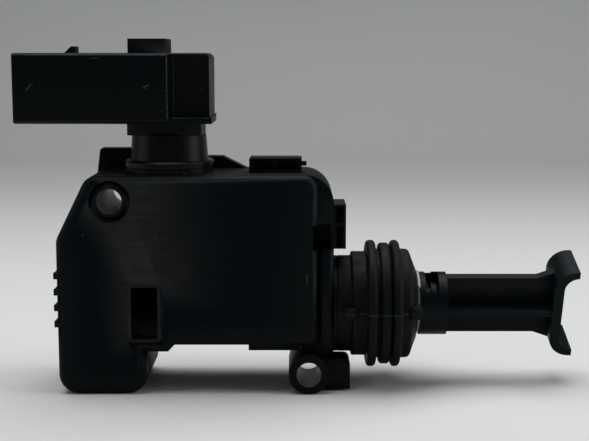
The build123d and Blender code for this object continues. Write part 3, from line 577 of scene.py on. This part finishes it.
class StageSizes(bpy.types.PropertyGroup):
    """Camera, floor and lights."""

    camera_place: bpy.props.FloatVectorProperty(
        name="Camera Place",
        description="Where the camera stands",
        default=(38.9 * MM, -261.7 * MM, 30.2 * MM),
        subtype="TRANSLATION",
        unit="LENGTH",
    )
    camera_pitch: bpy.props.FloatProperty(
        name="Camera Pitch",
        description="How far the camera looks down",
        default=math.radians(7.8),
        subtype="ANGLE",
    )
    lens: bpy.props.FloatProperty(
        name="Lens", description="Focal length on a 36 mm sensor", default=73.3, min=1,
    )
    floor_colour: bpy.props.FloatVectorProperty(
        name="Floor", description="Pale floor", default=(0.68, 0.69, 0.68), subtype="COLOR", min=0, max=1,
    )
    backdrop_colour: bpy.props.FloatVectorProperty(
        name="Backdrop", description="Grey wall behind", default=(0.4, 0.405, 0.4),
        subtype="COLOR", min=0, max=1,
    )


class ActuatorSettings(bpy.types.PropertyGroup):
    """All settings of the actuator."""

    casing: bpy.props.PointerProperty(type=CasingSizes)
    bellows: bpy.props.PointerProperty(type=BellowsSizes)
    colours: bpy.props.PointerProperty(type=FinishColours)
    stage: bpy.props.PointerProperty(type=StageSizes)


class ACTUATOR_OT_casing(bpy.types.Operator):
    """Finish the cover, the rear housing and their seal"""

    bl_idname = "actuator.casing"
    bl_label = "Casing"

    def execute(self, context):
        settings = context.scene.actuator
        colour = settings.colours.casing
        marks = (
            ((9.4, -7.4), (10.4, -8.0), 0.16),
            ((9.2, -7.9), (10.0, -8.2), 0.1),
            ((-5.8, -7.1), (-5.6, -7.1), 0.16),
            ((3.4, -12.1), (3.6, -12.1), 0.14),
            ((40.6, -1.2), (42.0, -1.4), 0.1),
            ((41.5, -15.6), (41.6, -18.2), 0.18),
        )
        # Painted shade: a box just behind the cover's front face, inside a recess, painted nearly black
        # as its shadow.
        painted_shade_pocket = ([4.2 * MM, -11.3 * MM, -29.5 * MM], [9.8 * MM, -8.0 * MM, -18.3 * MM])
        cover = moulded_plastic("cover_plastic", colour, 0.5, marks, (painted_shade_pocket,))
        low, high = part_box("front_cover")
        left = low.x / MM + 0.5
        steps = []
        for level in LOOP_LEVELS:
            gap = frame_outline(left - 1, level - 1.1, left, level + 1.1)
            steps.append(("DIFFERENCE", prism(face_on, gap, -11.0, -8.7)))
            for side in (-1, 1):
                middle = level + side * LOOP_BAR_OFFSET
                arm = frame_outline(left - 0.5, middle - 0.65, left + 1.3, middle + 0.65)
                steps.append(("UNION", prism(face_on, arm, -11.85, -8.6)))
        base = node_shell("front_cover")
        piece = shaped("cover_shell", "front_cover", "housing", cover, base, steps)
        soften(piece, settings.casing.edge_round)
        housing = moulded_plastic("housing_plastic", shade(colour, 0.95), 0.5)
        top_bar = frame_outline(47.2, -2.05, 50.0, -1.45)
        steps = (
            ("DIFFERENCE", prism(face_on, frame_outline(47.31, -1.45, 50.5, 0.5), -6.5, 5.5)),
            ("UNION", prism(face_on, top_bar, -6.0, -0.9)),
            ("DIFFERENCE", prism(face_on, frame_outline(43.0, -10.5, 46.6, -5.2), -9.5, -4.5)),
        )
        base = node_shell("rear_housing")
        piece = shaped("housing_shell", "rear_housing", "housing", housing, base, steps)
        soften(piece, settings.casing.edge_round)
        dress("housing_seal", soft_rubber("seal_rubber", settings.colours.rubber))
        return {"FINISHED"}


class ACTUATOR_OT_connector(bpy.types.Operator):
    """Finish the connector, its collar, its seal and the contact strips"""

    bl_idname = "actuator.connector"
    bl_label = "Connector"

    def execute(self, context):
        settings = context.scene.actuator
        colours = settings.colours
        marks = (
            ((7.2, 23.7), (8.2, 24.2), 0.18),
            ((7.4, 23.2), (8.3, 23.6), 0.14),
            ((-17.4, 23.2), (-16.4, 24.2), 0.2),
            ((-16.2, 24.5), (-15.9, 24.7), 0.12),
            ((-2.8, 25.6), (-2.6, 25.3), 0.12),
            ((19.2, 23.1), (19.6, 23.3), 0.14),
            ((-4.5, 29.6), (-2.0, 29.9), 0.1),
            # The last four lines are painted highlights along the recess's left edges, its lower ledge
            # and the top edge.
            ((12.1, 17.3), (12.1, 29.9), 0.12),
            ((13.3, 17.6), (13.3, 30.3), 0.12),
            ((13.3, 17.25), (20.7, 17.25), 0.14),
            ((-20.0, 30.5), (12.0, 30.5), 0.12),
        )
        plastic = moulded_plastic("connector_plastic", shade(colours.casing, 0.85), 0.46, marks)
        steps = [
            ("UNION", prism(face_on, frame_outline(13.1, 16.8, 20.95, 30.3), -8.0, -2.9)),
            ("DIFFERENCE", prism(face_on, frame_outline(20.95, 17.5, 23.0, 32.0), -9.5, 9.5)),
            ("DIFFERENCE", prism(face_on, frame_outline(21.35, 15.0, 23.0, 17.6), -9.5, 9.5)),
            ("DIFFERENCE", prism(face_on, corner_cut(20.95, 30.9, 1.3, -1, -1), -9.5, 9.5)),
        ]
        recess = [(12.9, 17.5, 0), (20.45, 17.5, 0), (20.45, 30.55, 1.0), (12.9, 30.55, 0)]
        steps.append(("DIFFERENCE", prism(face_on, rounded(recess, 6), -8.5, -6.8)))
        for y, side_y in ((-9.0, 1), (9.0, -1)):
            for z, side_z in ((16.0, 1), (30.9, -1)):
                edge = corner_cut(y, z, 1.2, side_y, side_z)
                steps.append(("DIFFERENCE", prism(side_on, edge, -21.0, 12.41)))
            low, high = sorted((side_y * -7.0, side_y * -8.5))
            side = frame_outline(3.0, low, 20.0, high)
            steps.append(("DIFFERENCE", prism(from_above, side, 13.4, 15.99)))
        band = [(3.1, -7.0, 2.0), (19.2, -7.0, 2.0), (19.2, 7.0, 2.0), (3.1, 7.0, 2.0)]
        ring = prism(from_above, rounded(band, 6), 13.5, 16.4)
        steps.append(("UNION", ring))
        base = node_shell("connector_housing")
        piece = shaped("connector_shell", "connector_housing", "housing", plastic, base, steps)
        soften(piece, settings.casing.edge_round)
        self.collar(settings)
        dress("neck_seal", soft_rubber("neck_rubber", colours.rubber))
        strip_metal = worked_metal("contact_metal", colours.brass, 0.25, (0.1, 1.0, 0.1), 0.2)
        dress("contact_strip_front", strip_metal)
        dress("contact_strip_rear", strip_metal)
        return {"FINISHED"}

    def collar(self, settings):
        """Glossy collar: taper, two stacked discs and an eight-sided foot plate."""
        low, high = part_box("neck_collar")
        centre = ((low.x + high.x) / 2 / MM, 0.0)
        foot, top, bore = low.z / MM, high.z / MM, NECK_BORE
        section = (
            (bore, foot + 0.02),
            (9.6, foot + 0.02),
            (9.6, foot + 0.95),
            (9.3, foot + 1.0),
            (9.3, foot + 1.2),
            (9.7, foot + 1.25),
            (9.7, foot + 2.3),
            (9.35, foot + 2.65),
            (8.45, foot + 2.7),
            (8.05, top),
            (bore, top),
        )
        plate = arc(9.95, 22.5, 382.5, centre, 8)[:-1]
        hole = circle(bore, centre, 96)
        steps = (
            ("UNION", prism(from_above, plate, foot, foot + 0.5)),
            ("DIFFERENCE", prism(from_above, hole, foot - 1, foot + 1)),
        )
        plastic = glossy_plastic("collar_plastic", settings.colours.collar)
        base = turned(from_above, centre, section)
        piece = shaped("collar_moulding", "neck_collar", "housing", plastic, base, steps)
        soften(piece, settings.casing.edge_round * 0.5)


class ACTUATOR_OT_sleeves(bpy.types.Operator):
    """Finish the steel sleeves of the two mounting bores"""

    bl_idname = "actuator.sleeves"
    bl_label = "Sleeves"

    def execute(self, context):
        colours = context.scene.actuator.colours
        steel = worked_metal("sleeve_steel", shade(colours.steel, 0.6), 0.5)
        dress("upper_sleeve", steel)
        dress("lower_sleeve", steel)
        lip = moulded_plastic("lip_plastic", colours.casing)
        for name, node in (("upper_bore_lip", "upper_sleeve"), ("lower_bore_lip", "lower_sleeve")):
            low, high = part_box(node)
            centre = ((low.x + high.x) / 2 / MM, (low.z + high.z) / 2 / MM)
            front = low.y / MM
            inner, outer = SLEEVE_BORE, SLEEVE_BORE + 0.64
            section = ((inner, front), (inner, front - 0.1), (outer, front - 0.1), (outer, front))
            mesh = turned(face_on, centre, section)
            piece = piece_from(name, mesh, lip, "housing")
        return {"FINISHED"}


class ACTUATOR_OT_motor(bpy.types.Operator):
    """Finish the motor's fixed and turning pieces"""

    bl_idname = "actuator.motor"
    bl_label = "Motor"

    def execute(self, context):
        colours = context.scene.actuator.colours
        dress("motor_can", worked_metal("motor_steel", colours.steel, 0.3, (1.0, 1.0, 0.1)))
        dress("motor_end_cap", moulded_plastic("end_cap_plastic", shade(colours.casing, 2.0)))
        dress("motor_magnets", worked_metal("magnet_ferrite", (0.06, 0.06, 0.065), 0.6, (1, 1, 1)))
        dress("motor_brushes", worked_metal("brush_metal", colours.copper, 0.35, (0.1, 1.0, 1.0)))
        dress("motor_bearing", worked_metal("bearing_bronze", (0.42, 0.27, 0.12), 0.45, (1, 1, 1)))
        dress("motor_shaft", worked_metal("shaft_steel", shade(colours.steel, 1.15), 0.18, (1, 1, 0.1)))
        dress("armature_core", worked_metal("core_steel", shade(colours.steel, 0.6), 0.4, (0.1, 0.1, 4)))
        dress("armature_windings", worked_metal("winding_copper", colours.copper, 0.28, (1, 1, 0.1)))
        dress("commutator", worked_metal("commutator_copper", colours.copper, 0.25, (0.1, 0.1, 1)))
        return {"FINISHED"}


class ACTUATOR_OT_gear_train(bpy.types.Operator):
    """Finish the worm, the gears, their pins, the bush and the stop"""

    bl_idname = "actuator.gear_train"
    bl_label = "Gear Train"

    def execute(self, context):
        colours = context.scene.actuator.colours
        gear = moulded_plastic("gear_plastic", colours.gear, 0.36, wear=0.0)
        dress("worm", worked_metal("worm_brass", colours.brass, 0.22, (0.2, 0.2, 1)))
        dress("worm_gear", gear)
        dress("rack_gear", gear)
        dress("gear_axles", worked_metal("axle_steel", shade(colours.steel, 1.1), 0.2))
        dress("guide_bush", moulded_plastic("bush_plastic", shade(colours.gear, 0.9), 0.4, wear=0.0))
        dress("stop_buffer", soft_rubber("buffer_rubber", colours.rubber))
        return {"FINISHED"}


class ACTUATOR_OT_plunger(bpy.types.Operator):
    """Finish the rack rod, the washer and the yoke"""

    bl_idname = "actuator.plunger"
    bl_label = "Plunger"

    def execute(self, context):
        settings = context.scene.actuator
        colours = settings.colours
        # Painted shade: the rod takes a darker copy of the casing colour, so that it reads dark inside
        # the yoke's window.
        dress("rack_rod", moulded_plastic("rod_plastic", shade(colours.casing, 0.6), 0.5))
        self.washer(colours)
        self.yoke(settings)
        return {"FINISHED"}

    def washer(self, colours):
        """Pale washer with its tab at the top of the yoke."""
        finish = moulded_plastic("washer_plastic", colours.washer, 0.5, wear=0.2, gloss=0.3)
        outline = arc(7.3, 59, 121, steps=20) + arc(6.4, 121, 419, steps=72)
        disc = prism(self.side, outline, 65.75, 66.25)
        hole = prism(self.side, circle(ROD_BORE), 65.0, 67.0)
        steps = (("DIFFERENCE", hole),)
        piece = shaped("pale_washer", "end_washer", "plunger", finish, disc, steps)

    def yoke(self, settings):
        """Yoke: collar with its snap window, cross-shaped beam and head with two horns."""
        plastic = moulded_plastic("yoke_plastic", shade(settings.colours.casing, 1.15), 0.44)
        left, collar_right, head = 66.3, 72.3, 95.2
        web = [
            (collar_right - 0.6, -6.85, 0),
            (head - 3.0, -6.85, 2.5),
            (head + 1.0, -8.4, 0),
            (head + 1.0, 8.4, 0),
            (head - 3.0, 6.85, 2.5),
            (collar_right - 0.6, 6.85, 0),
        ]
        outer_top, outer_low = (head + 4.4, 6.1), (head + 4.4, -6.1)
        inner_top, inner_low = (head + 5.15, 6.0), (head + 5.15, -6.0)
        horns = (
            [(head + 5.15, 10.5)]
            + arc(4.4, 90, 180, outer_top, 12)
            + arc(4.4, 180, 270, outer_low, 12)
            + [(head + 5.15, -10.5)]
            + arc(3.0, 270, 180, inner_low, 12)
            + arc(3.0, 180, 90, inner_top, 12)
        )
        window = [
            (left + 1.25, -4.4),
            (left + 4.15, -4.4),
            (left + 4.15, 2.4),
            (left + 2.95, 2.4),
            (left + 2.95, 5.0),
            (left + 1.25, 5.0),
        ]
        key_slot = [(0, 0)] + arc(5.6, -101, -40)
        steps = (
            ("UNION", prism(self.face, rounded(web, 6), -1.0, 1.0)),
            ("UNION", prism(self.top, frame_outline(71.6, -4.6, 95.9, 4.6), -0.9, 0.9)),
            ("UNION", prism(self.face, horns, -5.2, 5.2)),
            ("DIFFERENCE", prism(self.top, window, 2.8, 8.0)),
            ("DIFFERENCE", prism(self.side, circle(ROD_BORE), 66.0, 71.8)),
            ("DIFFERENCE", prism(self.side, circle(4.8), 68.8, 70.3)),
            ("DIFFERENCE", prism(self.side, key_slot, 68.8, 70.3)),
        )
        collar = prism(self.side, circle(6.95, steps=120), left, collar_right)
        piece = shaped("yoke_moulding", "yoke", "fork", plastic, collar, steps)
        soften(piece, settings.casing.edge_round)

    def side(self, back, up, depth):
        """Point of the turned yoke's end view, in millimetres, at its place along X."""
        turn = math.radians(YOKE_TURN)
        y = back * math.cos(turn) - up * math.sin(turn)
        z = back * math.sin(turn) + up * math.cos(turn)
        return Vector((depth, y, ROD_HEIGHT + z)) * MM

    def face(self, along, up, depth):
        """Point of the turned yoke's front view, at its depth towards the back."""
        return self.side(depth, up, along)

    def top(self, along, back, depth):
        """Point of the turned yoke's top view, at its height over the rod's axis."""
        return self.side(back, depth, along)


class ACTUATOR_OT_bellows(bpy.types.Operator):
    """Make the rubber bellows, which stretches between the casing and the plunger"""

    bl_idname = "actuator.bellows"
    bl_label = "Bellows"

    def profile(self, left, right, fold, sizes):
        """Half section of the bellows: (x, r) points from the root, over the folds, and back inside."""
        edge = sizes.fold_round
        small = 0.35 * MM
        outside = [
            (left - 1.3 * MM, fold - 3.5 * MM, 0.2 * MM),
            (left + 1.7 * MM, fold - 3.5 * MM, small),
            (left + 1.9 * MM, fold - 2.6 * MM, small),
            (left + 5.05 * MM, fold - 2.6 * MM, small),
            (left + 5.15 * MM, fold - 0.1 * MM, edge),
            (left + 7.15 * MM, fold - 0.1 * MM, edge),
            (left + 7.2 * MM, fold - 2.1 * MM, 0.2 * MM),
            (left + 7.9 * MM, fold - 2.1 * MM, 0.2 * MM),
            (left + 7.95 * MM, fold - 0.7 * MM, edge),
            (left + 10.2 * MM, fold - 0.7 * MM, edge),
            (left + 10.25 * MM, fold - 2.2 * MM, 0.12 * MM),
            (left + 10.5 * MM, fold - 2.2 * MM, 0.12 * MM),
            (left + 10.55 * MM, fold - 0.1 * MM, edge),
            (left + 12.3 * MM, fold - 0.1 * MM, edge),
            (left + 12.45 * MM, fold - 2.0 * MM, small),
            (left + 14.5 * MM, fold - 2.1 * MM, 1.0 * MM),
            (left + 15.2 * MM, fold - 4.1 * MM, 0.7 * MM),
            (right - 0.2 * MM, fold - 6.1 * MM, 0.7 * MM),
            (right, fold - 7.2 * MM, 0.3 * MM),
            (right, fold - 10.35 * MM, 0.2 * MM),
        ]
        inside = [
            (right - 1.4 * MM, fold - 10.35 * MM, 0.2 * MM),
            (right - 1.4 * MM, fold - 6.6 * MM, 0.6 * MM),
            (left + 12.3 * MM, fold - 3.6 * MM, small),
            (left + 3.5 * MM, fold - 3.9 * MM, small),
            (left + 3.4 * MM, fold - 6.4 * MM, small),
            (left, fold - 6.4 * MM, 0.1 * MM),
            (left, fold - 4.45 * MM, 0.1 * MM),
            (left - 1.3 * MM, fold - 4.45 * MM, 0.1 * MM),
        ]
        return rounded(outside + inside)

    def tabs(self, mesh, left, right, fold, axis_z):
        """Adds the two nubs of the parting line at the front: one on the root, one at the shoulder."""
        for start, end, reach, half in (
            (left + 0.1, left + 2.9, fold - 1.5, 1.2),
            (right - 2.5, right + 0.4, fold - 1.9, 1.35),
        ):
            section = [
                (-reach, axis_z - half, 0.7),
                (-reach, axis_z + half, 0.7),
                (-reach + 4.0, axis_z + half, 0),
                (-reach + 4.0, axis_z - half, 0),
            ]
            nub = bpy.data.meshes.new("nub")
            shell = prism(side_on, rounded(section, 6), start, end)
            shell.to_mesh(nub)
            shell.free()
            mesh.from_mesh(nub)
            bpy.data.meshes.remove(nub)

    def execute(self, context):
        settings = context.scene.actuator
        sizes = settings.bellows
        low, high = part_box("bellows")
        left, right = low.x, high.x
        fold = (high.z - low.z) / 2
        axis_z = (high.z + low.z) / 2
        outline = self.profile(left, right, fold, sizes)
        mesh = bmesh.new()
        rings = []
        for turn in range(sizes.segments):
            angle = 2 * math.pi * turn / sizes.segments
            off_seam = min(abs(math.remainder(angle - side, 2 * math.pi)) for side in (0, math.pi))
            seam = math.exp(-((off_seam / 0.03) ** 2))
            ring = []
            for x, r in outline:
                raised = sizes.parting_height * seam if r > fold - 4.2 * MM else 0.0
                radius = min(r + raised, fold)
                ring.append(
                    mesh.verts.new((x, -radius * math.cos(angle), axis_z + radius * math.sin(angle)))
                )
            rings.append(ring)
        for turn, ring in enumerate(rings):
            following = rings[(turn + 1) % len(rings)]
            for index in range(len(ring)):
                after = (index + 1) % len(ring)
                mesh.faces.new((ring[index], ring[after], following[after], following[index]))
        bmesh.ops.recalc_face_normals(mesh, faces=mesh.faces)
        self.tabs(mesh, left / MM, right / MM, fold / MM, axis_z / MM)
        seam = (
            (left + 0.2 * MM, -fold - MM, axis_z - 0.11 * MM),
            (right - MM, -0.4 * fold, axis_z + 0.11 * MM),
        )
        rubber = soft_rubber("bellows_rubber", settings.colours.rubber, seam=seam)
        piece = piece_from("rubber_bellows", mesh, rubber)
        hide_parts("bellows")
        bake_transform(piece)
        return {"FINISHED"}


class ACTUATOR_OT_stage(bpy.types.Operator):
    """Set up the floor, the backdrop, the lamps and the camera"""

    bl_idname = "actuator.stage"
    bl_label = "Stage"

    def backdrop(self, sizes):
        """Sweep of pale board: flat under the object, curved up to a wall behind it."""
        front, back, bend, top, half_width = -1.6, 0.55, 0.25, 1.6, 2.4
        floor = cad_low.z
        line = [(front, floor), (back, floor)]
        for step in range(1, 17):
            turn = math.pi / 2 * step / 16
            line.append((back + bend * math.sin(turn), floor + bend * (1 - math.cos(turn))))
        line.append((back + bend, floor + top))
        mesh = bmesh.new()
        sides = [[mesh.verts.new((x, y, z)) for y, z in line] for x in (-half_width, half_width)]
        for index in range(len(line) - 1):
            mesh.faces.new((sides[0][index], sides[1][index], sides[1][index + 1], sides[0][index + 1]))
        finish = Finish("pale_board")
        cloth = finish.noise(0.6, 3.0)
        depth = finish.between(finish.part("Y"), 0.0, 0.45)
        # Painted shade: the wall darkens with height, and most at its middle, standing in for the falloff
        # of the lamps.
        height = finish.between(finish.part("Z"), cad_low.z + 0.02, cad_low.z + 0.4)
        tone = finish.blend(depth, shade(sizes.floor_colour), shade(sizes.backdrop_colour))
        aside = finish.part("X") - 0.03
        aside = finish.between(aside.math("ABSOLUTE", aside), 0.0, 0.26)
        wall = finish.blend(
            aside, shade(sizes.backdrop_colour, 0.5), shade(sizes.backdrop_colour, 0.72)
        )
        tone = finish.blend(height, tone, wall)
        tone = finish.blend(cloth * 0.06, tone, shade(sizes.backdrop_colour, 0.8))
        normal = finish.bump(finish.noise(0.5 * MM, 2.0), 0.01 * MM, 0.2)
        board = piece_from("backdrop", mesh, finish.surface(tone, 0.85, normal))

    def lamp(self, name, place, aim, size, power, colour=(1, 1, 1)):
        """Large soft area lamp at a place, aimed at a point."""
        data = bpy.data.lights.new(name, "AREA")
        data.shape = "RECTANGLE"
        data.size, data.size_y = size
        data.energy = power
        data.color = colour
        lamp = bpy.data.objects.new(name, data)
        bpy.context.scene.collection.objects.link(lamp)
        lamp.location = place
        lamp.rotation_euler = (Vector(aim) - Vector(place)).to_track_quat("-Z", "Y").to_euler()

    def execute(self, context):
        sizes = context.scene.actuator.stage
        self.backdrop(sizes)
        middle = (cad_low + cad_high) / 2
        self.lamp("top_softbox", (middle.x - 0.05, 0.12, 0.75), middle, (0.9, 0.7), 6.9)
        self.lamp("right_softbox", (0.75, -0.05, 0.3), middle, (0.5, 0.6), 2.6)
        self.lamp("left_softbox", (-0.7, -0.1, 0.25), middle, (0.5, 0.6), 0.8)
        world = bpy.data.worlds.new("studio_air")
        context.scene.world = world
        world.use_nodes = True
        world.node_tree.nodes["Background"].inputs["Color"].default_value = (0.85, 0.95, 1.0, 1)
        world.node_tree.nodes["Background"].inputs["Strength"].default_value = 0.075
        data = bpy.data.cameras.new("camera")
        data.lens = sizes.lens
        data.sensor_width = 36.0
        data.clip_start = 0.01
        camera = bpy.data.objects.new("camera", data)
        context.scene.collection.objects.link(camera)
        camera.location = sizes.camera_place
        camera.rotation_euler = (math.pi / 2 - sizes.camera_pitch, 0, 0)
        context.scene.camera = camera
        context.scene.view_settings.view_transform = "Standard"
        return {"FINISHED"}


class ACTUATOR_PT_panel(bpy.types.Panel):
    """Lists the actuator's pieces and settings"""

    bl_idname = "ACTUATOR_PT_panel"
    bl_label = "Hood Latch Actuator"
    bl_space_type = "VIEW_3D"
    bl_region_type = "UI"
    bl_category = "Actuator"

    def draw(self, context):
        settings = context.scene.actuator
        for group in (settings.casing, settings.bellows, settings.colours, settings.stage):
            box = self.layout.box()
            for name in group.bl_rna.properties.keys():
                if name not in ("rna_type", "name"):
                    box.prop(group, name)
        for operator in OPERATORS:
            self.layout.operator(operator.bl_idname)


GROUPS = (CasingSizes, BellowsSizes, FinishColours, StageSizes, ActuatorSettings)
OPERATORS = (
    ACTUATOR_OT_stage,
    ACTUATOR_OT_casing,
    ACTUATOR_OT_connector,
    ACTUATOR_OT_sleeves,
    ACTUATOR_OT_motor,
    ACTUATOR_OT_gear_train,
    ACTUATOR_OT_plunger,
    ACTUATOR_OT_bellows,
)


def register():
    for part in (*GROUPS, *OPERATORS, ACTUATOR_PT_panel):
        bpy.utils.register_class(part)
    bpy.types.Scene.actuator = bpy.props.PointerProperty(type=ActuatorSettings)


def unregister():
    del bpy.types.Scene.actuator
    for part in reversed((*GROUPS, *OPERATORS, ACTUATOR_PT_panel)):
        bpy.utils.unregister_class(part)


def main():
    """Builds everything in order."""
    register()
    bpy.ops.actuator.stage()
    bpy.ops.actuator.casing()
    bpy.ops.actuator.connector()
    bpy.ops.actuator.sleeves()
    bpy.ops.actuator.motor()
    bpy.ops.actuator.gear_train()
    bpy.ops.actuator.plunger()
    bpy.ops.actuator.bellows()


if __name__ == "__main__":
    main()
